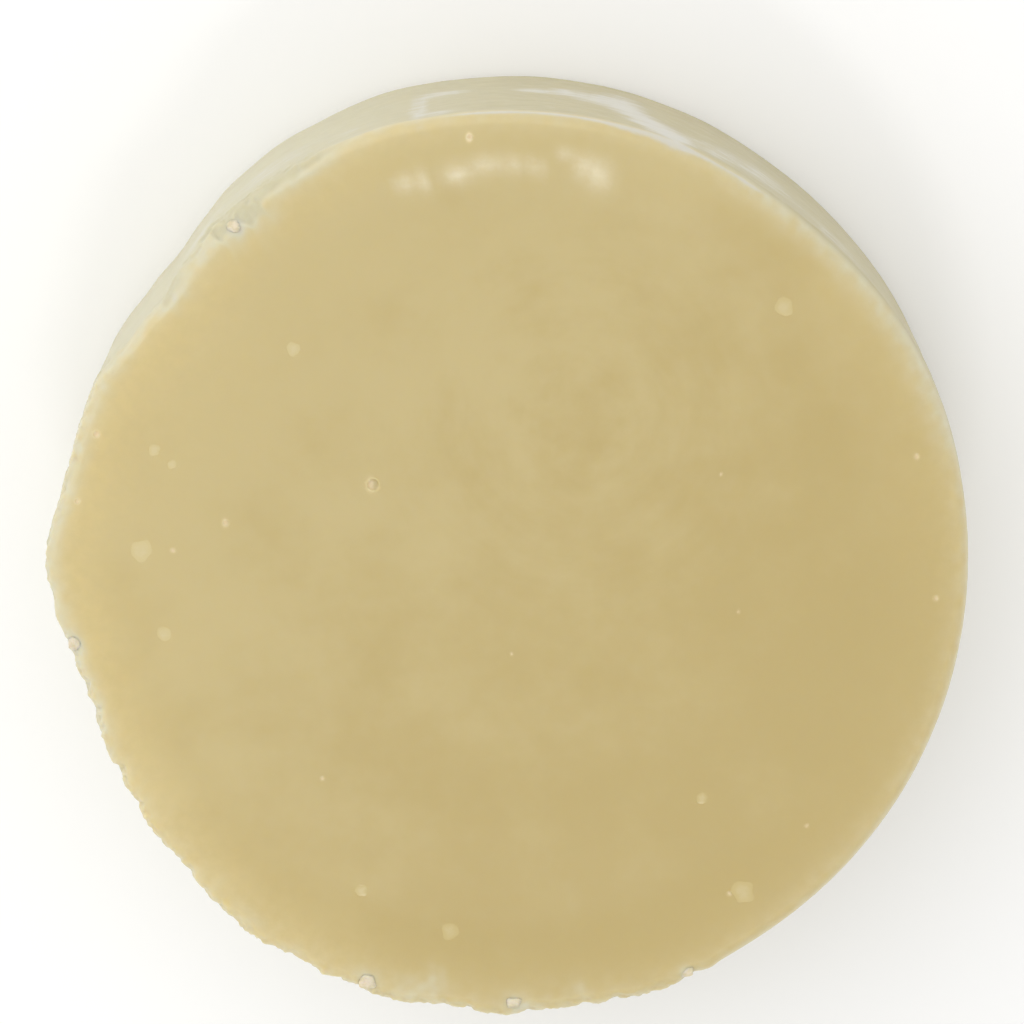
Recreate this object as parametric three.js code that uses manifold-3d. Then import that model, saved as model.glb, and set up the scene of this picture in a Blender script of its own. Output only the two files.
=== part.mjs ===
// A shaving soap puck: one casting of hard, slightly translucent cream soap, about the size of a mug's floor.
// It lies on its base. +Z is the puck's axis, towards the lathering face, and the origin is on that axis at the base.
// The puck is a little out of round, its face is dished by a meniscus inside a low lip, and its edges are rounded.
// Pale flecks of set stearic fat lie flush in the face, and a few crumbs of soap are lodged in the rim.
// Lengths are in millimetres. Angles are in degrees about +Z, anticlockwise from +X.

import * as THREE from "three";
import { mergeVertices } from "three/addons/utils/BufferGeometryUtils.js";
import Module from "manifold-3d";

// The puck's overall sizes.
const DIAMETER = 65;
const THICKNESS = 24;
const FACE_EDGE = 0.9; // radius of the rounded edge round the face
const BASE_EDGE = 1.3; // radius of the rounded edge round the base

// The lathering face: a flat middle, a slope up towards the rim and a level lip.
const DISH_DEPTH = 0.3;
const DISH_SLOPE = 4.2; // width of the sloping ring
const LIP_WIDTH = 1.6; // width of the level ring between the slope and the rounded edge

// Where the wall leaves the circle: its angle, half width in degrees, height outwards, and how far it reaches down
// from the face. A swelling that reaches the whole way down has the reach Infinity.
const SWELLINGS = [
  { at: 139, spread: 13, height: -0.9, reach: Infinity }, // flat where the puck was knocked
  { at: 172, spread: 26, height: -0.4, reach: Infinity },
  { at: -150, spread: 18, height: -0.6, reach: Infinity },
  { at: -100, spread: 24, height: 0.2, reach: Infinity },
  { at: 25, spread: 15, height: 0.2, reach: Infinity },
  { at: 56, spread: 10, height: -0.12, reach: Infinity },
  { at: 179, spread: 6, height: 0.95, reach: 9 }, // where soap slumped over the flats
  { at: -160, spread: 9, height: -0.3, reach: 14 },
  { at: -68, spread: 7, height: 0.22, reach: 6 },
  { at: -97, spread: 5, height: -0.18, reach: 6 },
  { at: -75, spread: 3.5, height: 0.15, reach: 3 }, // burrs left by the mould's lip
  { at: -93, spread: 2.6, height: 0.35, reach: 3 },
  { at: -106, spread: 4, height: 0.2, reach: 4 },
  { at: -125, spread: 4.5, height: 0.36, reach: 4 },
];
// Where the face's edge is rounder than FACE_EDGE.
const SOFTENINGS = [
  { at: 132, spread: 12, extra: 0.5 }, // worn
  { at: 45, spread: 25, extra: 0.6 }, // never filled the mould's corner
];

// Flecks of set stearic fat in the face. inset is how far in from the wall a fleck's middle is, size is across, and
// stretch is length over width along the radius.
const FLECKS = [
  { at: 177.4, inset: 6.8, size: 1.4, stretch: 1.1 },
  { at: -168.9, inset: 6.9, size: 1.0, stretch: 1.0 },
  { at: 134.3, inset: 9.8, size: 0.9, stretch: 1.1 },
  { at: 44.1, inset: 5.7, size: 1.4, stretch: 0.8 },
  { at: -50.8, inset: 10.8, size: 0.8, stretch: 1.0 },
  { at: -54.8, inset: 3.6, size: 1.6, stretch: 0.9 },
  { at: -99.2, inset: 5.6, size: 1.0, stretch: 1.4 },
  { at: -114.3, inset: 6.7, size: 0.8, stretch: 1.0 },
  { at: 161.4, inset: 5.6, size: 0.8, stretch: 1.0 },
  { at: 162.8, inset: 7.1, size: 0.6, stretch: 1.0 },
];
const FLECK_DEPTH = 0.45; // how deep a fleck goes, as a share of its size

// Crumbs lodged in the rounded edge of the face. lean is the crumb's place round the edge, from 0 at the wall to 90
// at the face, and sunk is how far its middle lies under the edge's surface.
const CRUMBS = [
  { at: -108.7, lean: 80, sunk: 0.27, size: 1.1 },
  { at: -89.4, lean: 75, sunk: 0.26, size: 1.0 },
  { at: -66.9, lean: 55, sunk: 0.26, size: 0.9 },
  { at: -169.8, lean: 60, sunk: 0.26, size: 1.0 },
  { at: 128.4, lean: 70, sunk: 0.34, size: 1.2 },
];
const CRUMB_WIDTH = 0.8; // of its length, which lies along the rim
const CRUMB_HEIGHT = 0.7; // of its length

const SEATING_GAP = 0.1; // clearance round a fleck in its pocket and a crumb in its seat

// Bubbles that broke at the face and left an open pit, set in from the wall as the flecks are.
const BUBBLES = [
  { at: 148.5, inset: 20.4, size: 0.9 },
  { at: 95.2, inset: 1.7, size: 0.6 },
  { at: 171.0, inset: 11.9, size: 0.5 },
];

// How finely the puck is faceted.
const TURN_STEPS = 144;
const EDGE_STEPS = 4;
const WALL_STEPS = 6;
const SLOPE_STEPS = 4;
const FLECK_SIDES = 14;
const BUBBLE_SIDES = 12;
const DOME_STEPS = 8; // from pole to pole of a fleck or a bubble

const wasm = await Module();
wasm.setup();

const radians = THREE.MathUtils.degToRad;

// 1 at the middle of a feature, falling smoothly to 0 on both sides.
function bell(distance, spread) {
  return Math.exp(-((distance / spread) ** 2));
}

// From 0 to 1 with a level start and a level end.
function ease(share) {
  return (1 - Math.cos(Math.PI * share)) / 2;
}

// The signed angle from one bearing to another, between -180 and 180 degrees.
function turnFrom(bearing, other) {
  return ((((other - bearing) % 360) + 540) % 360) - 180;
}

function pointAt(bearing, out, up) {
  return [out * Math.cos(radians(bearing)), out * Math.sin(radians(bearing)), up];
}

// The wall's radius at a bearing and a depth below the face.
function wallRadius(bearing, depth) {
  return SWELLINGS.reduce(
    (radius, s) => radius + s.height * bell(turnFrom(s.at, bearing), s.spread) * bell(depth, s.reach),
    DIAMETER / 2,
  );
}

function faceEdge(bearing) {
  return SOFTENINGS.reduce(
    (radius, s) => radius + s.extra * bell(turnFrom(s.at, bearing), s.spread),
    FACE_EDGE,
  );
}

// The puck's half section at a bearing, as points (radius, height) from the middle of the base round to the
// middle of the face. Every bearing has the same number of points.
function halfSection(bearing) {
  const edge = faceEdge(bearing);
  const points = [new THREE.Vector2(0, 0)];
  const baseRadius = wallRadius(bearing, THICKNESS) - BASE_EDGE;
  for (let i = 0; i <= EDGE_STEPS; i++) {
    const turn = (Math.PI / 2) * (i / EDGE_STEPS);
    points.push(
      new THREE.Vector2(baseRadius + BASE_EDGE * Math.sin(turn), BASE_EDGE * (1 - Math.cos(turn))),
    );
  }
  const wallHeight = THICKNESS - BASE_EDGE - edge;
  for (let i = 1; i < WALL_STEPS; i++) {
    // Closer together towards the face, where the burrs are.
    const height = BASE_EDGE + wallHeight * Math.sin((Math.PI / 2) * (i / WALL_STEPS));
    points.push(new THREE.Vector2(wallRadius(bearing, THICKNESS - height), height));
  }
  const faceRadius = wallRadius(bearing, edge) - edge;
  for (let i = 0; i <= EDGE_STEPS; i++) {
    const turn = (Math.PI / 2) * (i / EDGE_STEPS);
    points.push(
      new THREE.Vector2(faceRadius + edge * Math.cos(turn), THICKNESS - edge * (1 - Math.sin(turn))),
    );
  }
  for (let i = 0; i <= SLOPE_STEPS; i++) {
    const share = i / SLOPE_STEPS;
    points.push(
      new THREE.Vector2(faceRadius - LIP_WIDTH - DISH_SLOPE * share, THICKNESS - DISH_DEPTH * ease(share)),
    );
  }
  points.push(new THREE.Vector2(0, THICKNESS - DISH_DEPTH));
  return points;
}

// A lathe whose section changes as it turns: each meridian of the LatheGeometry is moved to its own section,
// and the lathe's own axis, +Y, becomes +Z.
function turnedBody(sectionAt, steps) {
  const count = sectionAt(0).length;
  const geometry = new THREE.LatheGeometry(sectionAt(0), steps);
  const position = geometry.getAttribute("position");
  for (let i = 0; i <= steps; i++) {
    const bearing = (360 * (i % steps)) / steps;
    sectionAt(bearing).forEach((point, j) => {
      position.setXYZ(i * count + j, ...pointAt(bearing, point.x, point.y));
    });
  }
  return geometry;
}

// A closed three.js geometry as a manifold-3d solid, so that it can be cut.
function solidFrom(geometry) {
  const bare = geometry.index ? geometry.toNonIndexed() : geometry.clone();
  bare.deleteAttribute("normal");
  bare.deleteAttribute("uv");
  const merged = mergeVertices(bare, 1e-4);
  return new wasm.Manifold(
    new wasm.Mesh({
      numProp: 3,
      vertProperties: new Float32Array(merged.getAttribute("position").array),
      triVerts: new Uint32Array(merged.index.array),
    }),
  );
}

// A manifold-3d solid as a three.js geometry.
function geometryFrom(solid) {
  const mesh = solid.getMesh();
  const geometry = new THREE.BufferGeometry();
  geometry.setAttribute("position", new THREE.BufferAttribute(mesh.vertProperties, mesh.numProp));
  geometry.setIndex(new THREE.BufferAttribute(mesh.triVerts, 1));
  geometry.computeVertexNormals();
  return geometry;
}

// The point on the face at a mark's bearing and inset.
function onFace(mark) {
  const out = wallRadius(mark.at, 0) - mark.inset;
  const lipInside = wallRadius(mark.at, 0) - faceEdge(mark.at) - LIP_WIDTH;
  const share = THREE.MathUtils.clamp((lipInside - out) / DISH_SLOPE, 0, 1);
  return pointAt(mark.at, out, THICKNESS - DISH_DEPTH * ease(share));
}

// A lens-shaped fleck centred on the face's surface, grown by the gap that its pocket adds.
function fleckLens(fleck, gap) {
  const across = fleck.size / 2 + gap;
  const along = (fleck.size / 2) * fleck.stretch + gap;
  const deep = fleck.size * FLECK_DEPTH + gap;
  return new THREE.SphereGeometry(1, FLECK_SIDES, DOME_STEPS)
    .rotateX(Math.PI / 2)
    .scale(along, across, deep)
    .rotateZ(radians(fleck.at))
    .translate(...onFace(fleck));
}

// A broken crumb, angular and flattened, turned differently for each bearing.
function crumbChip(crumb, gap) {
  const half = crumb.size / 2 + gap;
  const edge = faceEdge(crumb.at);
  const out = wallRadius(crumb.at, edge) - edge + (edge - crumb.sunk) * Math.cos(radians(crumb.lean));
  const up = THICKNESS - edge + (edge - crumb.sunk) * Math.sin(radians(crumb.lean));
  return new THREE.IcosahedronGeometry(1, 1)
    .rotateX(radians(crumb.at))
    .scale(half, half * CRUMB_WIDTH, half * CRUMB_HEIGHT)
    .rotateZ(radians(crumb.at + 90))
    .translate(...pointAt(crumb.at, out, up));
}

function bubblePit(bubble) {
  const pit = new THREE.SphereGeometry(bubble.size / 2, BUBBLE_SIDES, DOME_STEPS);
  return pit.translate(...onFace(bubble));
}

const soapFinish = { color: "#cab784", roughness: 0.4, metalness: 0 };
const fleckFinish = { color: "#d4caa6", roughness: 0.5, metalness: 0 };
const crumbFinish = { color: "#dccfab", roughness: 0.6, metalness: 0 };

function named(name, solid, finish) {
  const mesh = new THREE.Mesh(geometryFrom(solid), new THREE.MeshStandardMaterial(finish));
  mesh.name = name;
  return mesh;
}

const numbered = (name, index) => `${name}_${String(index + 1).padStart(2, "0")}`;

const puck = new THREE.Group();
const blank = solidFrom(turnedBody(halfSection, TURN_STEPS));

const cuts = [
  ...FLECKS.map((fleck) => fleckLens(fleck, SEATING_GAP)),
  ...CRUMBS.map((crumb) => crumbChip(crumb, SEATING_GAP)),
  ...BUBBLES.map(bubblePit),
];
puck.add(
  named(
    "soap_body",
    cuts.reduce((body, cut) => body.subtract(solidFrom(cut)), blank),
    soapFinish,
  ),
);

// A fleck is the part of its lens that lies inside the uncut puck, so its top is flush with the face.
FLECKS.forEach((fleck, index) => {
  const flush = solidFrom(fleckLens(fleck, 0)).intersect(blank);
  puck.add(named(numbered("stearic_fleck", index), flush, fleckFinish));
});

CRUMBS.forEach((crumb, index) => {
  puck.add(named(numbered("rim_crumb", index), solidFrom(crumbChip(crumb, 0)), crumbFinish));
});

export default puck;
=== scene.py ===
import math

import bmesh
import bpy
import numpy as np
from mathutils import Matrix, Vector
from mathutils.bvhtree import BVHTree


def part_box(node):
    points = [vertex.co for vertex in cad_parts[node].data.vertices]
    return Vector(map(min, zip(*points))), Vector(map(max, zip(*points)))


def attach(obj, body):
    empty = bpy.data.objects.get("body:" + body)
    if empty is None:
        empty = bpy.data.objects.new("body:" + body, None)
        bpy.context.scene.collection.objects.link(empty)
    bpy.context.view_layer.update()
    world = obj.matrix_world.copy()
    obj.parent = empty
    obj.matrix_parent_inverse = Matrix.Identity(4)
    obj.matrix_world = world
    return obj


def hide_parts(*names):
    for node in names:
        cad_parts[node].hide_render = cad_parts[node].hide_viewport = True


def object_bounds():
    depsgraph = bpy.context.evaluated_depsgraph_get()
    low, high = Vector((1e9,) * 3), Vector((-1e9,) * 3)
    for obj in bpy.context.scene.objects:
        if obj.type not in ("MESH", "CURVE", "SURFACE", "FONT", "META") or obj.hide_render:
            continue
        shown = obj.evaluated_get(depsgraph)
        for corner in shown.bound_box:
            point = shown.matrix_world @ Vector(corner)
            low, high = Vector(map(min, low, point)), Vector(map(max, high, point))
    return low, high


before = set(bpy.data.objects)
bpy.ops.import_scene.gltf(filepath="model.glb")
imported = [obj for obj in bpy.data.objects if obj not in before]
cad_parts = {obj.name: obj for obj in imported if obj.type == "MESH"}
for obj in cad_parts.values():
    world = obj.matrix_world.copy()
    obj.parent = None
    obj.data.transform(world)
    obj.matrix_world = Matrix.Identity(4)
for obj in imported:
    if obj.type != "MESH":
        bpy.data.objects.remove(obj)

cad_low, cad_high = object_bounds()

# ----------------------------------------------------------------------------------------------------
# The casting: one puck of hard shaving soap, cast hot in a round mould. Its face set last, so it is dished
# inside a low lip. The rim tore where the puck was knocked out, and the wall dried to a paler skin with
# smears.
# The wall's paler, greyer colour and its white smears are partly painted reflection, and the rim carries
# painted sheen and a painted highlight line.
# Lengths are in millimetres until a mesh is made. A bearing is in degrees about +Z, anticlockwise from +X.
# ----------------------------------------------------------------------------------------------------

MM = 0.001
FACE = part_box("soap_body")[1].z / MM
LIP_WIDTH = 1.6
DISH_SLOPE = 4.2
BASE_EDGE = 1.3
FACE_EDGE = 0.9
MERIDIANS = 1024

cad_body = BVHTree.FromObject(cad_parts["soap_body"], bpy.context.evaluated_depsgraph_get())
dish_floor = cad_body.ray_cast(Vector((0, 0, 2 * FACE * MM)), Vector((0, 0, -1)))[0].z / MM
DISH_DEPTH = FACE - dish_floor


def turn(bearing, other):
    """The signed angle from one bearing to another, from -180 to 180 degrees."""
    return (other - bearing + 180) % 360 - 180


def bell(distance, spread):
    """exp(-(distance / spread)^2): 1 at the middle, falling smoothly to 0."""
    return np.exp(-((distance / spread) ** 2))


def between(bearing, start, end, fade=3.0):
    """1 from the start bearing to the end one, 0 elsewhere, with a logistic step about fade wide at each."""
    middle, half = (start + end) / 2, (end - start) / 2
    return 1 / (1 + np.exp((np.abs(turn(middle, bearing)) - half) * 4 / fade))


def torn(bearing):
    """How ragged the rim is: fully from -172 to -66 degrees, and less where it was knocked and slumped."""
    return between(bearing, -172, -66) + 0.8 * between(bearing, 114, 146) + 0.75 * between(bearing, 149, 185)


# The wall as it was packed, looked up from the axis at a grid of bearings and heights.
LOOKS = 144
LOOK_RISE = 1.0
look_bearings = (np.arange(LOOKS) + 0.5) * 360 / LOOKS
look_heights = np.arange(1.6, FACE - 1.2, LOOK_RISE)
look_ways = [Vector((math.cos(b), math.sin(b), 0)) for b in np.radians(look_bearings)]
look_starts = [Vector((0, 0, h * MM)) for h in look_heights]
wall_looks = np.array([[cad_body.ray_cast(start, way)[3] for start in look_starts] for way in look_ways]) / MM


def round_series(table, bearings):
    """Each column of the looked-up table as a Fourier series round the puck, worked out at other bearings."""
    order = np.arange(LOOKS // 2 + 1)
    share = np.where((order == 0) | (order == LOOKS // 2), 1, 2) / LOOKS
    turns = np.exp(1j * np.radians(bearings - look_bearings[0])[:, None] * order)
    return ((turns * share) @ np.fft.rfft(table, axis=0)).real


# The meridians stand closer together where the rim is torn.
fine = np.linspace(-180, 180, 3601)
crowding = 1 + 1.9 * np.clip(torn(fine), 0, 1)
counted = np.concatenate([[0], np.cumsum((crowding[1:] + crowding[:-1]) / 2)])
meridians = np.interp(np.arange(MERIDIANS) / MERIDIANS * counted[-1], counted, fine)
cos, sin = np.cos(np.radians(meridians)), np.sin(np.radians(meridians))
wall_rows = round_series(wall_looks, meridians)
rim = wall_rows[:, -1]


def wall_out(height):
    """The wall's radius on every meridian at a height: straight lines between the looked-up heights."""
    place = np.clip((height - look_heights[0]) / LOOK_RISE, 0, len(look_heights) - 1.001)
    low = np.floor(place).astype(int)
    meridian = np.arange(MERIDIANS)
    return wall_rows[meridian, low] * (1 - place + low) + wall_rows[meridian, low + 1] * (place - low)


def rim_out(bearing):
    """The rim's radius at any bearing."""
    return np.interp(bearing, meridians, rim, period=360)


# Where the edge round the face is rounder, being worn or short of the mould's corner: bearing, half width in
# degrees and what it adds to the radius.
SOFTENINGS = [(132, 12, 0.5), (45, 25, 0.6)]


def face_edge(bearing):
    """The radius of the rounded edge round the face: FACE_EDGE and a bell for each softening."""
    return FACE_EDGE + sum(extra * bell(turn(where, bearing), wide) for where, wide, extra in SOFTENINGS)


def waves(points, length, seed, count=40):
    """Smooth unevenness of about one unit: a sum of sine waves in seeded directions, each near the length."""
    draw = np.random.default_rng(seed)
    ways = draw.normal(size=(count, 3))
    steepness = 2 * np.pi / length * draw.uniform(0.6, 1.7, (count, 1))
    ways *= steepness / np.linalg.norm(ways, axis=1, keepdims=True)
    return np.sin(points @ ways.T + draw.uniform(0, 2 * np.pi, count)).sum(1) / math.sqrt(count / 2)


# Low swells on the slope inside the lip, where the setting skin drew up into puckers: bearing, distance in
# from the wall, half length in degrees, half width, height and how strongly a highlight is painted on it.
PUCKERS = [
    (105.2, 3.5, 1.2, 0.7, 0.04, 0.75),
    (102.6, 3.6, 1.0, 0.9, 0.045, 0.8),
    (97.5, 3.5, 2.0, 0.8, 0.05, 0.8),
    (93.5, 3.0, 2.2, 0.7, 0.05, 0.8),
    (89.6, 3.1, 1.4, 0.8, 0.045, 0.6),
    (86.4, 3.2, 1.3, 0.7, 0.045, 0.7),
    (82.6, 2.2, 1.2, 0.5, 0.045, 0.8),
    (80.2, 2.8, 1.3, 0.8, 0.05, 1.0),
    (77.5, 3.1, 1.7, 1.1, 0.06, 1.0),
]
FACE_SINK = 0.02  # keeps the uneven face from rising past the lip


def face_height(x, y):
    """The face: level lip, a slope of half a cosine wave down into the dish, swells and slow unevenness."""
    bearing, out = np.degrees(np.arctan2(y, x)), np.hypot(x, y)
    inset = rim_out(bearing) - out
    share = np.clip((inset - face_edge(bearing) - LIP_WIDTH) / DISH_SLOPE, 0, 1)
    swells = sum(
        tall * bell(turn(where, bearing), long) * bell(inset - inward, wide)
        for where, inward, long, wide, tall, shine in PUCKERS
    )
    flat = np.stack([x, y, 0 * x], 1)
    uneven = 0.012 * waves(flat, 14, 1) + 0.0035 * waves(flat, 4.5, 2)
    dished = DISH_DEPTH * (1 - np.cos(np.pi * share)) / 2
    return FACE - dished + swells + uneven * np.clip(inset / 3, 0, 1) - FACE_SINK


# The casting's skin is a set of rings, from the middle of the face out, down the wall and in across the base.
rings = []


def add_ring(out, up, every):
    """One ring of points at radius out and height up, on every so many meridians."""
    points = np.stack([out * cos, out * sin, up + 0 * out], 1)
    rings.append(points[::every])


def growing(first, growth, largest, total):
    """Distances from 0 to total whose steps grow by a ratio up to the largest."""
    steps = np.minimum(first * growth ** np.arange(400), largest)
    places = np.concatenate([[0], np.cumsum(steps)])
    places = places[places < total - first]
    return places * total / (places[-1] + min(largest, steps[len(places) - 1]))


def thinned(size, limits):
    """1, doubled for each of the limits that a ring's radius is within: a ring's points are on every so many
    meridians, so that the triangles near an axis don't turn to slivers."""
    return 2 ** sum(size <= limit for limit in limits)


edge = face_edge(meridians)
edge_start = rim - edge
mean_start = edge_start.mean()
for inset in growing(0.12, 1.12, 0.45, mean_start)[::-1]:
    out = edge_start * (1 - inset / mean_start)
    every = thinned(mean_start - inset, (mean_start - 1.5, 22, 11, 5, 2))
    add_ring(out, face_height(out * cos, out * sin), every)
lip = face_height(edge_start * cos, edge_start * sin)
EDGE_STEPS = 12
for lean in np.radians(np.linspace(90, 0, EDGE_STEPS + 1))[1:]:
    add_ring(edge_start + edge * math.cos(lean), lip - edge * (1 - math.sin(lean)), 1)
wall_top = lip - edge
wall_rise = wall_top.mean() - BASE_EDGE
for drop in growing(0.12, 1.15, 1.0, wall_rise)[1:]:
    up = wall_top - (wall_top - BASE_EDGE) * drop / wall_rise
    add_ring(wall_out(up), up, 1 if drop < 3 else 2)
foot = wall_out(np.full(MERIDIANS, BASE_EDGE))
BASE_STEPS = 6
for lean in np.radians(np.linspace(0, 90, BASE_STEPS + 1)):
    add_ring(foot - BASE_EDGE * (1 - math.cos(lean)), BASE_EDGE - BASE_EDGE * math.sin(lean), 2)
BASE_REACH = 31.0  # about the radius of the flat underside
for inset in growing(0.5, 1.2, 1.5, BASE_REACH)[1:]:
    share = 1 - inset / BASE_REACH
    add_ring((foot - BASE_EDGE) * share, 0.0, 4 * thinned(BASE_REACH * share, (16, 8, 3)))


def stitched(a, b):
    """Triangles between two rings of vertex numbers, where one has as many as the other or twice as many."""
    next_a, next_b = np.roll(a, -1), np.roll(b, -1)
    if len(a) == len(b):
        parts = [(a, b, next_b), (a, next_b, next_a)]
    elif len(b) == 2 * len(a):
        left, middle, right = b[::2], b[1::2], np.roll(b[::2], -1)
        parts = [(a, left, middle), (a, middle, next_a), (next_a, middle, right)]
    else:
        left, middle, right = a[::2], a[1::2], np.roll(a[::2], -1)
        parts = [(left, b, middle), (middle, b, next_b), (middle, next_b, right)]
    return np.concatenate([np.stack(part, 1) for part in parts])


def fan(middle, ring, outward):
    """Triangles from one vertex to a ring round it, turned to face out."""
    following = np.roll(ring, -1)
    a, b = (ring, following) if outward else (following, ring)
    return np.stack([np.full(len(ring), middle), a, b], 1)


starts = np.concatenate([[0], np.cumsum([len(ring) for ring in rings])])
numbers = [np.arange(start, start + len(ring)) for start, ring in zip(starts, rings)]
top_middle, base_middle = starts[-1], starts[-1] + 1
poles = np.array([[0, 0, face_height(np.zeros(1), np.zeros(1))[0]], [0, 0, 0]])
skin_points = np.concatenate([*rings, poles])
skin_faces = np.concatenate([
    fan(top_middle, numbers[0], True),
    *[stitched(a, b) for a, b in zip(numbers, numbers[1:])],
    fan(base_middle, numbers[-1], False),
])

body_mesh = bpy.data.meshes.new("soap_puck")
body_mesh.from_pydata(skin_points.tolist(), [], skin_faces.tolist())


def read(collection, field, width):
    """One field of every item in a mesh collection, as an array."""
    values = np.empty(len(collection) * width, np.int32 if field == "vertices" else np.float32)
    collection.foreach_get(field, values)
    return values.reshape(-1, width)


def refine(mesh, spots, reach):
    """Halves the edges that lie within reach of any of the spots, given as rows of x and y on the face."""
    points = read(mesh.vertices, "co", 3)
    middles = points[read(mesh.edges, "vertices", 2)].mean(1)
    away = np.hypot(middles[:, None, 0] - spots[:, 0], middles[:, None, 1] - spots[:, 1])
    chosen = np.flatnonzero((away < reach).any(1) & (middles[:, 2] > FACE - 1.0))
    grid = bmesh.new()
    grid.from_mesh(mesh)
    grid.edges.ensure_lookup_table()
    bmesh.ops.subdivide_edges(grid, edges=[grid.edges[i] for i in chosen], cuts=1)
    bmesh.ops.triangulate(grid, faces=[f for f in grid.faces if len(f.verts) > 3])
    grid.to_mesh(mesh)
    grid.free()


# Bubbles that broke at the face: bearing, distance in from the wall, radius, depth and how much each glints.
BUBBLES = [
    (148.5, 20.4, 0.42, 0.2, 1.3),
    (95.2, 1.7, 0.2, 0.08, 3.0),
    (171.0, 11.9, 0.2, 0.1, 1.3),
]
# Pinholes: x, y and radius.
PINHOLES = np.array([
    (-23.9, 1.2, 0.16),
    (28.7, 8.0, 0.17),
    (30.2, -2.2, 0.17),
    (-13.4, -15.4, 0.12),
    (-30.6, 4.8, 0.2),
    (-29.2, 9.6, 0.26),
    (16.2, -3.2, 0.1),
    (14.9, 6.7, 0.1),
    (0.1, -6.3, 0.1),
    (21.2, -18.8, 0.12),
    (15.7, -23.8, 0.14),
])
FLECK_NAMES = sorted(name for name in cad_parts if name.startswith("stearic_fleck"))
CRUMB_NAMES = sorted(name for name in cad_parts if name.startswith("rim_crumb"))


def middle_and_size(node):
    """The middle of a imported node's box and the box's size."""
    low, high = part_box(node)
    return np.array((low + high) / 2) / MM, np.array(high - low) / MM


def point_at(bearing, out, up):
    """The point at a bearing, a radius and a height."""
    return np.array([out * math.cos(math.radians(bearing)), out * math.sin(math.radians(bearing)), up])


bubble_places = np.array([point_at(where, rim_out(where) - inward, 0)[:2] for where, inward, *_ in BUBBLES])
fleck_places = np.array([middle_and_size(name)[0][:2] for name in FLECK_NAMES])
fleck_sizes = np.array([middle_and_size(name)[1][:2].mean() for name in FLECK_NAMES])
refine(body_mesh, np.concatenate([bubble_places, fleck_places, PINHOLES[:, :2]]), 1.0)
refine(body_mesh, np.concatenate([bubble_places, PINHOLES[:, :2]]), 0.55)

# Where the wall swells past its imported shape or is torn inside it: bearing, half width in degrees, height
# outwards and how far it reaches down from the face.
TEARS = [
    (-173.5, 2.0, 0.26, 4), (-168.5, 2.2, -0.28, 3), (-164.2, 1.5, -0.46, 3), (-161.0, 1.5, -0.42, 3),
    (-155.0, 1.4, 0.22, 3), (-152.2, 1.0, -0.22, 3), (-147.0, 0.7, -0.22, 2), (-143.5, 2.0, 0.13, 3),
    (-138.0, 2.0, -0.28, 3), (-136.0, 0.7, -0.22, 2), (-127.5, 1.0, -0.14, 2), (-119.0, 1.6, -0.24, 2),
    (-114.0, 1.1, 0.14, 2), (-110.5, 1.2, -0.12, 2), (-107.8, 0.6, 0.18, 2), (-103.5, 1.6, 0.18, 2),
    (-98.5, 0.5, -0.16, 1), (-95.3, 0.9, -0.22, 2), (-90.3, 1.6, 0.3, 2), (-87.6, 0.6, -0.16, 2),
    (-80.8, 0.8, -0.18, 2), (-76.5, 0.9, -0.24, 2), (-73.0, 1.6, 0.13, 2), (-66.2, 0.9, -0.15, 2),
    (-63.8, 1.0, 0.14, 2), (117.5, 4.0, -0.13, 30), (131.5, 2.6, 0.22, 30), (142.5, 4.0, -0.5, 30),
    (149.0, 3.2, -0.42, 30), (155.8, 2.6, 0.08, 30), (166.0, 2.6, -0.12, 12), (105.0, 3.0, 0.1, 30),
    (48.0, 10.0, -0.12, 30),
]
# How far in from the wall the rim is broken away, by bearing.
BREAK = np.array([
    (109, 0), (113, 0.3), (117, 0.75), (119, 0.7), (122, 0.95), (123.6, 1.25), (124.2, 1.7), (127, 1.85),
    (127.6, 1.2), (130.8, 1.25), (131.4, 0.45), (134, 0.35), (137, 0.55), (139, 0.8), (142, 0.75),
    (142.6, 0.2), (146, 0),
])
BREAK_DROP = 0.03
BREAK_SLOPE = 0.22
SEAT_DENT = 0.05  # how far the rim is pressed in round a crumb


def bite(points, centre, radius, way):
    """Cuts a ball out of the skin: points inside slide along a way, a unit vector, to the ball's far side."""
    from_centre = points - centre
    inside = (from_centre ** 2).sum(1) < radius ** 2
    along = from_centre[inside] @ way
    reach = np.sqrt(along ** 2 - (from_centre[inside] ** 2).sum(1) + radius ** 2)
    points[inside] += (reach - along)[:, None] * way


points = read(body_mesh.vertices, "co", 3).astype(float)
normals = read(body_mesh.vertex_normals, "vector", 3).astype(float)
bearing, out = np.degrees(np.arctan2(points[:, 1], points[:, 0])), np.hypot(points[:, 0], points[:, 1])
inset, depth = rim_out(bearing) - out, FACE - points[:, 2]
on_rim = bell(np.clip(inset, 0, None), 1.4)
on_wall = np.clip((depth - 0.4) / 1.5, 0, 1) * np.clip(1.2 - inset, 0, 1)

# Swellings and tears move the rim and the wall outwards or inwards.
outwards = points * [1, 1, 0] / np.maximum(out, 1)[:, None]
moved = sum(
    tall * bell(turn(where, bearing), wide) * bell(depth, reach) for where, wide, tall, reach in TEARS
)
points += outwards * (moved * on_rim)[:, None]

# The torn rim's fine raggedness and the wall's drag marks, along the normals.
ragged = torn(bearing) * bell(np.clip(inset, 0, None), 0.55) * bell(depth, 3.5)
rough = 0.05 * waves(points, 1.5, 3) + 0.04 * waves(points, 0.7, 4)
drags = 0.02 * waves(points * [1, 1, 2.2], 9, 5) + 0.009 * waves(points * [1, 1, 4], 3.5, 6)
points += normals * (rough * ragged + drags * on_wall)[:, None]

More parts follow.
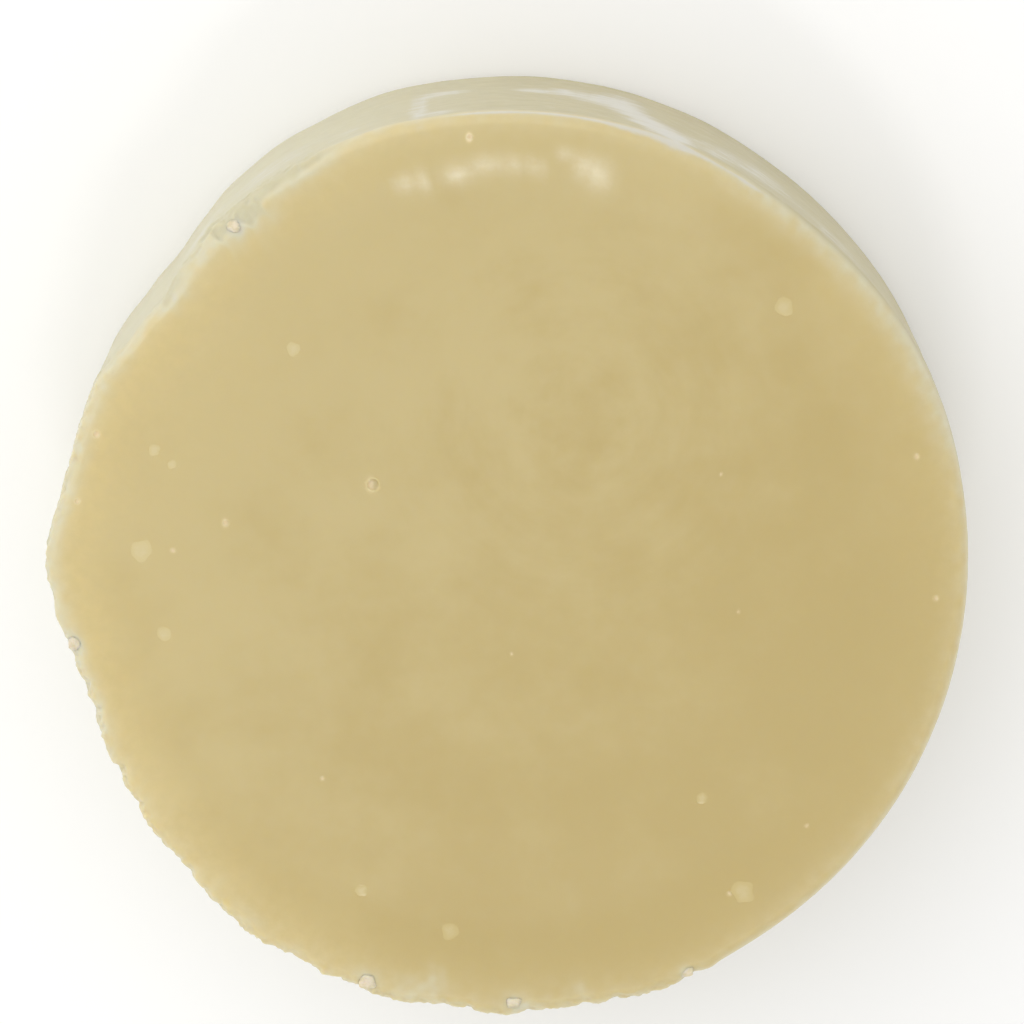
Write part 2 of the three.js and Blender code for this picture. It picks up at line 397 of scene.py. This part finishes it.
# Where it was knocked, the rim broke away to an uneven ledge that falls outwards.
broken = np.interp(bearing + 0.4 * waves(points, 3, 8), *BREAK.T) * (depth < 4)
broken *= 1 + 0.12 * waves(points, 1.6, 9)
past = np.clip(broken - inset, 0, None)
ledge = np.clip(past / 0.7, 0, 1) * (BREAK_DROP + past * BREAK_SLOPE + 0.015 * waves(points, 0.8, 10))
points[:, 2] -= ledge * bell(np.clip(depth - 0.5, 0, None), 1.5)

# Many small seeded bites scallop the torn rim.
draw = np.random.default_rng(7)
for where in np.arange(-212, -64, 0.9):
    where += draw.uniform(-0.4, 0.4)
    radius, deep = draw.uniform(0.3, 0.8), draw.uniform(0.02, 0.13) * (1 if where > -176 else 0.85)
    up = FACE - draw.uniform(0.8, 1.8)
    bite(points, point_at(where, rim_out(where) - deep + radius, up), radius, point_at(where, -1, 0))
for where in np.arange(114, 147, 1.6):
    where += draw.uniform(-0.7, 0.7)
    radius, deep = draw.uniform(0.8, 1.6), draw.uniform(0.02, 0.1)
    up = FACE - draw.uniform(0.8, 2.0)
    bite(points, point_at(where, rim_out(where) - deep + radius, up), radius, point_at(where, -1, 0))

# The rim is pressed in a little round each crumb.
crumb_boxes = [middle_and_size(name) for name in CRUMB_NAMES]
for middle, size in crumb_boxes:
    away = np.linalg.norm(points - middle, axis=1)
    outwards_up = point_at(math.degrees(math.atan2(middle[1], middle[0])), 0.5, 0.87)
    points -= SEAT_DENT * (bell(away, 0.8 * size.max()) * (depth < 2))[:, None] * outwards_up

# Bubbles, pinholes and the shallow beds of the flecks sink into the face.
for (x, y), (where, inward, radius, deep, shine) in zip(bubble_places, BUBBLES):
    away = np.hypot(points[:, 0] - x, points[:, 1] - y) / radius
    bowl = np.sqrt(np.clip(1 - away ** 2, 0, 1))
    points[:, 2] += (np.abs(depth) < 1) * (0.05 * radius * bell(away - 1.12, 0.2) - deep * bowl)
for x, y, radius in PINHOLES:
    away = np.hypot(points[:, 0] - x, points[:, 1] - y) / radius
    points[:, 2] -= (np.abs(depth) < 1) * 0.35 * radius * np.clip(1 - away ** 2, 0, 1)
BED_SHARE = 0.6
BED_DEPTH = 0.16
for (x, y), size in zip(fleck_places, fleck_sizes):
    away = np.hypot(points[:, 0] - x, points[:, 1] - y) / (size / 2 * BED_SHARE)
    points[:, 2] -= (np.abs(depth) < 1) * BED_DEPTH * size * np.clip(1 - away ** 2, 0, 1)

limits_low, limits_high = np.array(cad_low) / MM, np.array(cad_high) / MM
points = np.clip(points, limits_low, limits_high)
body_mesh.vertices.foreach_set("co", (points * MM).astype(np.float32).ravel())
body_mesh.polygons.foreach_set("use_smooth", np.ones(len(body_mesh.polygons), bool))
body_mesh.update()

# White smears on the wall, partly dried soap and partly painted reflection: bearing, height, half length in
# degrees, half height and strength.
SMEARS = [
    (101.6, 16.0, 0.9, 6.5, 1.0), (98.5, 10.0, 3.2, 1.8, 0.8), (99.0, 21.5, 3.0, 1.6, 0.6),
    (87.0, 10.5, 2.6, 1.6, 1.0), (83.4, 9.5, 1.4, 2.0, 0.7), (80.0, 11.0, 3.0, 3.5, 0.7),
    (75.5, 12.0, 3.0, 6.0, 1.0), (72.0, 18.5, 2.2, 3.5, 1.2), (69.0, 21.0, 2.0, 2.5, 1.2),
    (64.0, 18.0, 5.5, 4.0, 0.5), (56.0, 15.0, 5.0, 5.0, 0.5), (44.0, 19.0, 8.0, 4.0, 0.42),
    (110.0, 19.0, 5.0, 2.0, 0.3), (122.0, 15.0, 7.0, 5.0, 0.48), (134.0, 17.0, 4.0, 4.0, 0.6),
]
DARK_SLOT = (79.2, 17.5, 2.6, 2.2)  # a bare patch among them, without a strength

bloom = sum(
    strength * bell(turn(where, bearing), long) * bell(points[:, 2] - up, tall)
    for where, up, long, tall, strength in SMEARS
)
where, up, long, tall = DARK_SLOT
bloom = np.clip(bloom, 0, 1) * (1 - bell(turn(where, bearing), long) * bell(points[:, 2] - up, tall))
bloom *= np.clip((1.2 - inset) / 0.6, 0, 1)

# Pale dust and scuffs along the rim: bearing, distance in from the wall, half length in degrees, half width
# and strength.
SCUFFS = [
    (-108.7, 1.0, 1.6, 0.7, 0.5), (-103.0, 1.1, 3.0, 1.0, 0.35), (-100.3, 1.9, 1.3, 1.2, 0.4),
    (-89.6, 0.8, 1.5, 0.8, 0.5), (-87.0, 0.4, 1.5, 0.4, 0.35), (-80.6, 1.1, 1.0, 0.8, 0.3),
    (-66.9, 0.5, 0.9, 0.5, 0.5), (-169.8, 0.7, 1.4, 0.5, 0.4), (128.6, 1.1, 1.6, 0.6, 0.9),
    (117.0, 0.9, 4.0, 0.35, 0.45), (134.0, 0.7, 3.0, 0.5, 0.55),
    (141.0, 0.6, 2.5, 0.5, 0.5), (-126.0, 1.0, 2.0, 0.5, 0.25),
]
scuffed = sum(
    strength * bell(turn(where, bearing), long) * bell(inset - inward, wide)
    for where, inward, long, wide, strength in SCUFFS
)
# Painted highlight: a thin bright line along the rounded edge at the top of the wall, from 56 to 97 degrees,
# added to the smears.
line_width = 0.13 + 0.1 * between(bearing, 66, 77, 3)
rim_line = between(bearing, 56, 97, 3) * bell(depth - 0.5, line_width) * (inset < 1.2)
chalky = 0.5 * scuffed * between(bearing, 112, 145)
bloom = np.clip(bloom + (chalky * (1 + 0.4 * waves(points, 1.3, 13)) + rim_line) * (depth < 2), 0, 1)
# Painted highlights where the puckers catch the light.
puckered = sum(
    shine * bell(turn(where, bearing), long) * bell(inset - inward - 0.6, wide)
    for where, inward, long, wide, tall, shine in PUCKERS
)
puckered = np.clip(puckered, 0, 1) * (depth < 1)


def edge_glow(bearing, inset):
    """How much light the thin edge lets through: exp(-inset / band), weaker at the right and the bottom, with
    a band that widens on the left and the upper right."""
    band = 1.5 + 1.7 * between(bearing, 112, 255, 25) + 0.8 * between(bearing, 140, 195, 8)
    band += 1.5 * between(bearing, 0, 45, 15)
    return np.exp(-np.clip(inset, 0, None) / band) * (0.5 + 0.5 * between(bearing, 105, 250, 35))


glow = np.where(depth > 1.5, 1.0, edge_glow(bearing, inset))
# A pale band round the rim: painted sheen on the rounded edge, strongest on the left, which faces the light,
# and on the rounder edge at the upper right, with the pale dust of the scuffs added.
plain_left = between(bearing, 148, 205, 12)
melted = between(bearing, 14, 62, 8)
fringe_width = 0.75 + 0.35 * plain_left + 0.5 * melted + 0.3 * between(bearing, -150, -75, 10)
fringe_power = 1 + 1.2 * plain_left + 0.8 * melted
fringe = np.exp(-(np.clip(inset - 0.9 * broken, 0, None) / fringe_width) ** fringe_power)
fringe *= (0.65 + 0.35 * between(bearing, 112, 205, 12) + 0.3 * melted) * (1 + 0.15 * waves(points, 1.5, 11))
fringe = np.clip(fringe + scuffed * (1 + 0.3 * waves(points, 1.3, 13)), 0, 1)
rind = np.clip((depth - 0.5) / 0.7, 0, 1) * np.clip((2.0 - inset) / 0.6, 0, 1)
rind = np.maximum(rind, 0.8 * np.clip((broken - inset) / 0.4, 0, 1))
# Painted glints in the pinholes and on one side of the broken bubbles.
speck = sum(bell(np.hypot(points[:, 0] - x, points[:, 1] - y), radius) for x, y, radius in PINHOLES)
for (x, y), (where, inward, radius, deep, shine) in zip(bubble_places, BUBBLES):
    across = bell(points[:, 0] - x + 0.4 * radius, 0.25 * radius + 0.12)
    speck += shine * across * bell(points[:, 1] - y, 0.6 * radius + 0.14)
speck = np.clip(speck, 0, 1) * (np.abs(depth) < 1)
gloss = 0.5 * (1 - between(bearing, -190, -55, 10) * bell(np.clip(inset, 0, None), 2.5)) + 0.5 * puckered
gloss *= 1 - 0.7 * fringe


def store(mesh, **fields):
    """Stores each named array as one value for each vertex, for the mesh's material to read."""
    for name, values in fields.items():
        attribute = mesh.attributes.new(name, "FLOAT", "POINT")
        attribute.data.foreach_set("value", values.astype(np.float32))


store(
    body_mesh, bloom=bloom, glow=glow, rind=rind, fringe=fringe, speck=speck, pucker=puckered, gloss=gloss
)


class Value:
    """A number, colour or vector worked out on a surface. Sums and products add Math nodes to its tree."""

    def __init__(self, tree, socket=None):
        self.tree, self.socket = tree, socket

    def node(self, kind, settings=None, inputs=None, output=0):
        """Adds a node: its settings first, then the numbers or links of its sockets, by name or by place."""
        made = self.tree.nodes.new(kind)
        for name, value in (settings or {}).items():
            setattr(made, name, value)
        for name, value in (inputs or {}).items():
            if isinstance(value, Value):
                self.tree.links.new(value.socket, made.inputs[name])
            else:
                made.inputs[name].default_value = value
        return Value(self.tree, made.outputs[output])

    def maths(self, operation, *terms):
        """One Math node on numbers or Values."""
        return self.node("ShaderNodeMath", {"operation": operation}, dict(enumerate(terms)))

    def __add__(self, other):
        return self.maths("ADD", self, other)

    __radd__ = __add__

    def __sub__(self, other):
        return self.maths("SUBTRACT", self, other)

    def __rsub__(self, other):
        return self.maths("SUBTRACT", other, self)

    def __mul__(self, other):
        return self.maths("MULTIPLY", self, other)

    __rmul__ = __mul__

    def step(self, low, high):
        """0 below low and 1 above high, with a smooth rise between."""
        settings = {"interpolation_type": "SMOOTHSTEP"}
        return self.node("ShaderNodeMapRange", settings, {"Value": self, "From Min": low, "From Max": high})

    def mixed(self, other, share):
        """This colour, changing to the other one by the share."""
        settings = {"data_type": "RGBA"}
        return self.node("ShaderNodeMix", settings, {0: share, 6: self, 7: other}, output=2)

    def colour(self, red, green, blue):
        """A fixed colour from its screen values, 0 to 255."""
        screen = np.array([red, green, blue]) / 255
        linear = np.where(screen <= 0.04045, screen / 12.92, ((screen + 0.055) / 1.055) ** 2.4)
        made = self.node("ShaderNodeRGB")
        made.socket.default_value = (*linear.tolist(), 1)
        return made

    def noise(self, scale, detail=2.0, roughness=0.5):
        """Noise between about 0.3 and 0.7 whose features measure 1 / scale of this vector's unit."""
        inputs = {"Vector": self, "Scale": scale, "Detail": detail, "Roughness": roughness}
        return self.node("ShaderNodeTexNoise", {}, inputs)

    def vector(self, operation, *terms, output=0):
        """One Vector Math node on this vector and the terms."""
        inputs = {0: self, **{i + 1: term for i, term in enumerate(terms)}}
        return self.node("ShaderNodeVectorMath", {"operation": operation}, inputs, output)


def surface(name):
    """A new material, its Principled shader, and a Value to start its expressions from."""
    material = bpy.data.materials.new(name)
    material.use_nodes = True
    return material, material.node_tree.nodes["Principled BSDF"], Value(material.node_tree)


def feed(shader, **sockets):
    """Links or sets a shader's sockets, which are named with _ for each space."""
    for name, value in sockets.items():
        socket = shader.inputs[name.replace("_", " ")]
        if isinstance(value, Value):
            value.tree.links.new(value.socket, socket)
        else:
            socket.default_value = value


def millimetres(start):
    """The place on the puck in millimetres."""
    here = start.node("ShaderNodeTexCoord", output="Object")
    return here.vector("MULTIPLY", (1000, 1000, 1000))


def field(start, name):
    """A value stored at the mesh's vertices."""
    return start.node("ShaderNodeAttribute", {"attribute_name": name}, output="Fac")


SWIRL_MIDDLE = (4.9, 10.6, 0)


def poured_soap(start):
    """The soap's colour: mottled, with faint arcs where the pour turned as it set, painted darker towards +X
    and -Y as shade away from the light at the upper left, and painted yellower where the edge lets light
    through. Also gives the fine grain."""
    place = millimetres(start)
    from_swirl = place.vector("MULTIPLY", (1, 1, 0)).vector("SUBTRACT", SWIRL_MIDDLE)
    swirl_out = from_swirl.vector("LENGTH", output="Value")
    direction = from_swirl.vector("NORMALIZE").vector("MULTIPLY", (1.3, 1.3, 0))
    arcs_place = start.node("ShaderNodeCombineXYZ", {}, {2: swirl_out * 0.45})
    arcs = direction.vector("ADD", arcs_place).noise(1.0, 3.0, 0.55)
    arcs_show = (1 - swirl_out.step(7, 20)) * swirl_out.step(0.5, 2.5)
    mottle = place.noise(0.16, 3.0, 0.6)
    grain = place.noise(1.2, 3.0, 0.6)
    # Painted shade: the face darkens towards +X and -Y, away from the light at the upper left, on top of the
    # mottle.
    slope = place.vector("DOT_PRODUCT", (0.0107, -0.0107, 0), output="Value") + 0.5
    warm = slope.step(0, 1) + (mottle - 0.5) * 1.3 + (arcs - 0.5) * arcs_show + (grain - 0.5) * 0.18
    skin = start.colour(201, 184, 130).mixed(start.colour(192, 172, 111), warm.step(0, 1))
    return grain, skin.mixed(start.colour(223, 203, 143), field(start, "glow") * (0.8 + (grain - 0.5)))


def cream_soap():
    """The poured soap, with a pale band at its rim that is partly pale dust and partly painted sheen, a dried
    rind on its wall that is partly painted reflection and painted darker towards +X as shade, white smears
    that are partly painted reflection, a painted highlight line along the top of the wall, painted highlights
    on the puckers and painted glints in its pits."""
    soap, shader, start = surface("cream_soap")
    place = millimetres(start)
    bloom, rind, fringe = field(start, "bloom"), field(start, "rind"), field(start, "fringe")
    grain, skin = poured_soap(start)
    # Painted shade: the rind colour darkens towards +X, away from the light. The rind's paler, greyer tone is
    # partly dried skin and partly painted reflection of the white room at a grazing angle.
    shady = place.vector("DOT_PRODUCT", (1, 0, 0), output="Value").step(-22, 8)
    # Pale rim colour: painted sheen on the rounded edge, with pale dust.
    fringe_soap = start.colour(212, 207, 180)
    rind_soap = start.colour(200, 194, 163).mixed(start.colour(177, 167, 130), shady)
    # Pale colour of the smears: partly dried soap, partly painted reflection.
    dried_soap = start.colour(209, 206, 195)
    # Colour of the painted highlights on the puckers.
    puckered_soap = start.colour(223, 212, 178)
    glint = start.colour(238, 221, 182)
    streaks = place.vector("MULTIPLY", (0.5, 0.5, 1.1)).noise(1.0, 5.0, 0.65)
    smeared = (bloom + (streaks - 0.5) * 1.6).step(0.1, 1.0) * bloom.step(0.02, 0.4)
    skin = skin.mixed(puckered_soap, field(start, "pucker") * (0.75 + (streaks - 0.5) * 2))
    skin = skin.mixed(fringe_soap, fringe * (0.9 + (grain - 0.5) * 0.6))
    skin = skin.mixed(rind_soap, rind * (0.85 + (streaks - 0.5) * 0.6))
    skin = skin.mixed(dried_soap, smeared * 0.9).mixed(glint, field(start, "speck") * 0.75)
    dents = place.noise(0.9, 2.0, 0.5) * 0.012 + place.noise(3.2, 2.0, 0.5) * 0.003
    drag = place.vector("MULTIPLY", (0.5, 0.5, 2.4)).noise(1.0, 4.0, 0.6)
    height = dents + drag * rind * 0.05 + smeared * 0.02
    feed(
        shader,
        Base_Color=skin,
        Roughness=0.42 + (grain - 0.5) * 0.2 + rind * 0.18,
        Normal=start.node("ShaderNodeBump", {}, {"Strength": 1.0, "Distance": MM, "Height": height}),
        Coat_Weight=field(start, "gloss") * (1 - rind * 0.7),
        Coat_Roughness=0.16,
        Subsurface_Weight=1.0,
        Subsurface_Radius=(1.0, 0.85, 0.6),
        Subsurface_Scale=0.7 * MM,
    )
    return soap


body = bpy.data.objects.new("soap_puck", body_mesh)
bpy.context.collection.objects.link(body)
body_mesh.materials.append(cream_soap())
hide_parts("soap_body")
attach(body, "root")

# ----------------------------------------------------------------------------------------------------
# Stearic flecks: grains of fat that set before the soap round them and stayed in it. Each is a soft lens that
# lies in its bed with its top level with the face, and thins to nothing at its border.
# ----------------------------------------------------------------------------------------------------

FLECK_TURNS = 48
FLECK_RINGS = 12
FLECK_SPREAD = 1.15  # the border that thins out over the face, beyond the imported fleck


def closed_grid(grid):
    """A grid of rings of points whose first and last rings are single points: its points and its faces."""
    count = grid.shape[1]
    loops = [np.arange(i * count, (i + 1) * count) for i in range(len(grid) - 2)]
    inner = grid[1:-1].reshape(-1, 3)
    first, last = len(inner), len(inner) + 1
    faces = np.concatenate([
        fan(first, loops[0], True),
        *[stitched(a, b) for a, b in zip(loops, loops[1:])],
        fan(last, loops[-1], False),
    ])
    return np.concatenate([inner, grid[:1, 0], grid[-1:, 0]]), faces


def add_piece(name, points, faces, material, node, slot, **fields):
    """Makes a closed piece from points in millimetres, with its vertex fields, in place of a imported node."""
    mesh = bpy.data.meshes.new(name)
    mesh.from_pydata((points * MM).tolist(), [], faces.tolist())
    mesh.polygons.foreach_set("use_smooth", np.ones(len(faces), bool))
    store(mesh, **fields)
    mesh.materials.append(material)
    made = bpy.data.objects.new(name, mesh)
    bpy.context.collection.objects.link(made)
    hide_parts(node)
    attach(made, "root")
    return made


def fleck_lens(x, y, size, seed):
    """A lens from the middle of its top, over its border and under to the middle of its bed. Its outline is
    a circle with seeded sine lobes. Its top follows the face with a slight crown. Its underside is a bowl."""
    draw = np.random.default_rng(seed)
    turns = np.linspace(0, 2 * np.pi, FLECK_TURNS, endpoint=False)
    outline = 1 + sum(
        draw.uniform(-0.16, 0.16) / k ** 0.5 * np.sin(k * turns + draw.uniform(0, 6)) for k in (2, 3, 4, 5)
    )
    over = np.linspace(0, 1, FLECK_RINGS)
    share = np.concatenate([over, over[-2::-1]])[:, None]
    under = np.concatenate([np.zeros(FLECK_RINGS), np.ones(FLECK_RINGS - 1)])[:, None]
    out = share * outline * size / 2
    across, along = x + out * np.cos(turns), y + out * np.sin(turns)
    top = face_height(across.ravel(), along.ravel()).reshape(across.shape) + 0.008 - 0.012 * share ** 4
    crown = 0.008 * size * (1 - share ** 2) ** 2
    bowl = 0.004 + (BED_DEPTH * 0.6 * size) * np.clip(1 - (share * FLECK_SPREAD / BED_SHARE) ** 2, 0, 1)
    grid = np.stack([across, along, top + np.where(under, -bowl, crown)], 2)
    points, faces = closed_grid(grid)
    thick = np.concatenate([np.repeat(1 - share[1:-1, 0], FLECK_TURNS), [1, 1]])
    bearing = np.degrees(np.arctan2(points[:, 1], points[:, 0]))
    glow = edge_glow(bearing, rim_out(bearing) - np.hypot(points[:, 0], points[:, 1]))
    return points, faces, dict(thick=thick, glow=glow)


def stearic_fat():
    """The poured soap's own colour at the border, clouding over to the paler fat where the lens is thick."""
    fat, shader, start = surface("stearic_fat")
    grain, skin = poured_soap(start)
    cloud = millimetres(start).noise(2.2, 3.0, 0.6)
    cover = (field(start, "thick") + (cloud - 0.5) * 0.5).step(0.1, 0.85)
    pale = start.colour(207, 194, 153).mixed(start.colour(212, 199, 163), cloud.step(0.4, 0.6))
    feed(
        shader,
        Base_Color=skin.mixed(pale, cover * 0.28),
        Roughness=0.42 + (grain - 0.5) * 0.2,
        Coat_Weight=0.5,
        Coat_Roughness=0.16,
    )
    return fat


fleck_fat = stearic_fat()
for seed, (name, (x, y), size) in enumerate(zip(FLECK_NAMES, fleck_places, fleck_sizes)):
    points, faces, fields = fleck_lens(x, y, size * FLECK_SPREAD, 20 + seed)
    made = add_piece("set_" + name, points, faces, fleck_fat, name, "stearic_fat", **fields)
    # Light passes through the real fleck, so it leaves no dark ring in the soap round it.
    made.visible_shadow = made.visible_diffuse = False

# ----------------------------------------------------------------------------------------------------
# Rim crumbs: dry, blunt bits of soap that broke off the rim as the puck came out of its mould. Each stuck in
# the rounded edge, partly sunk into it.
# ----------------------------------------------------------------------------------------------------

CRUMB_TURNS = 40
CRUMB_RINGS = 24
CRUMB_SPREAD = np.array([1.25, 1.15, 1.05])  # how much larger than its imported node, as it fills its seat


def crumb_lump(size, seed):
    """A stone-like solid with flat faces and rounded edges: in each direction its radius is that of the
    nearest of fifteen planes at seeded distances, joined by a power mean. Seeded waves pit it."""
    draw = np.random.default_rng(seed)
    turns = np.linspace(0, 2 * np.pi, CRUMB_TURNS, endpoint=False)[None, :]
    leans = np.linspace(0, np.pi, CRUMB_RINGS)[:, None]
    level = np.sin(leans)
    ways = np.stack([level * np.cos(turns), level * np.sin(turns), np.cos(leans) + 0 * turns], 2)
    planes = draw.normal(size=(9, 3))
    planes /= np.linalg.norm(planes, axis=1, keepdims=True)
    planes = np.concatenate([planes, np.eye(3), -np.eye(3)])
    reach = draw.uniform(0.5, 1.0, 15)
    facing = np.clip(ways @ planes.T / reach, 0, None)
    radius = (facing ** 9).sum(2) ** (-1 / 9)
    radius = radius / radius.max()
    pitted = radius * (1 + 0.03 * waves((ways * 3).reshape(-1, 3), 1.2, seed + 1).reshape(radius.shape))
    points, faces = closed_grid(ways * pitted[:, :, None])
    low, high = points.min(0), points.max(0)
    return (points - (low + high) / 2) / (high - low) * size, faces


def dry_crumb():
    """Pale dry soap, clouded, with a rough, powdery skin."""
    crumb, shader, start = surface("dry_crumb")
    place = millimetres(start)
    cloud = place.noise(2.0, 4.0, 0.6)
    height = place.noise(6.0, 3.0, 0.6) * 0.04
    feed(
        shader,
        Base_Color=start.colour(212, 199, 166).mixed(start.colour(224, 212, 188), cloud.step(0.38, 0.62)),
        Roughness=0.5 + (cloud - 0.5) * 0.4,
        Normal=start.node("ShaderNodeBump", {}, {"Strength": 1.0, "Distance": MM, "Height": height}),
        Coat_Weight=0.15,
        Coat_Roughness=0.3,
        Subsurface_Weight=0.6,
        Subsurface_Radius=(1.0, 0.75, 0.4),
        Subsurface_Scale=0.5 * MM,
    )
    return crumb


crumb_soap = dry_crumb()
for seed, (name, (middle, size)) in enumerate(zip(CRUMB_NAMES, crumb_boxes)):
    points, faces = crumb_lump(size * CRUMB_SPREAD, 40 + seed)
    points += middle
    points[:, 2] -= max(points[:, 2].max() - limits_high[2], 0)
    add_piece("stuck_" + name, points, faces, crumb_soap, name, "soap_crumb")

# ----------------------------------------------------------------------------------------------------
# The studio: a white sweep under the puck, a wide soft light from the upper left and a small one overhead.
# ----------------------------------------------------------------------------------------------------

FLOOR_HALF = 3.0
FLOOR_TOP = -5e-5  # just under the puck, so that the two surfaces don't fight
corners = [(FLOOR_HALF * x, FLOOR_HALF * y, FLOOR_TOP) for x, y in ((-1, -1), (1, -1), (1, 1), (-1, 1))]
floor_mesh = bpy.data.meshes.new("floor")
floor_mesh.from_pydata(corners, [], [(0, 1, 2, 3)])
floor = bpy.data.objects.new("floor", floor_mesh)
bpy.context.collection.objects.link(floor)
paper, shader, start = surface("white_paper")
feed(shader, Base_Color=(0.97, 0.97, 0.965, 1), Roughness=0.9)
floor_mesh.materials.append(paper)


def soft_light(name, way, distance, width, height, watts):
    """A rectangular light on the way from the middle of the face, facing it."""
    data = bpy.data.lights.new(name, "AREA")
    data.shape, data.size, data.size_y, data.energy = "RECTANGLE", width, height, watts
    light = bpy.data.objects.new(name, data)
    bpy.context.collection.objects.link(light)
    way = Vector(way).normalized()
    light.location = Vector((0, 0, FACE * MM)) + way * distance
    light.rotation_euler = way.to_track_quat("Z", "Y").to_euler()
    light.visible_camera = False


soft_light("window", (-0.5, 0.5, 0.9), 1.1, 1.4, 1.4, 4.5)
glancing = math.radians(25.2)
soft_light("overhead_strip", (0.0, -math.sin(glancing), math.cos(glancing)), 0.6, 0.1, 0.03, 0.25)

world = bpy.data.worlds.new("room")
world.use_nodes = True
world.node_tree.nodes["Background"].inputs["Color"].default_value = (1, 1, 1, 1)
world.node_tree.nodes["Background"].inputs["Strength"].default_value = 0.84
bpy.context.scene.world = world
bpy.context.scene.view_settings.view_transform = "Standard"

# The camera looks down on the face, a little from behind it.
TILT = math.radians(10.6)
right = Vector((1, 0, 0))
up = Vector((0, math.cos(TILT), -math.sin(TILT)))
back = Vector((0, math.sin(TILT), math.cos(TILT)))
aim = Vector((0, 0, FACE * MM)) + right * 0.13 * MM + up * 3.97 * MM
camera_data = bpy.data.cameras.new("camera")
camera_data.sensor_width = 36
camera_data.lens = 198.5
camera = bpy.data.objects.new("camera", camera_data)
bpy.context.collection.objects.link(camera)
camera.location = aim + back * 0.4
camera.rotation_mode = "QUATERNION"
camera.rotation_quaternion = Matrix((right, up, back)).transposed().to_quaternion()
camera_data.clip_start = 0.01
camera_data.clip_end = 20
bpy.context.scene.camera = camera
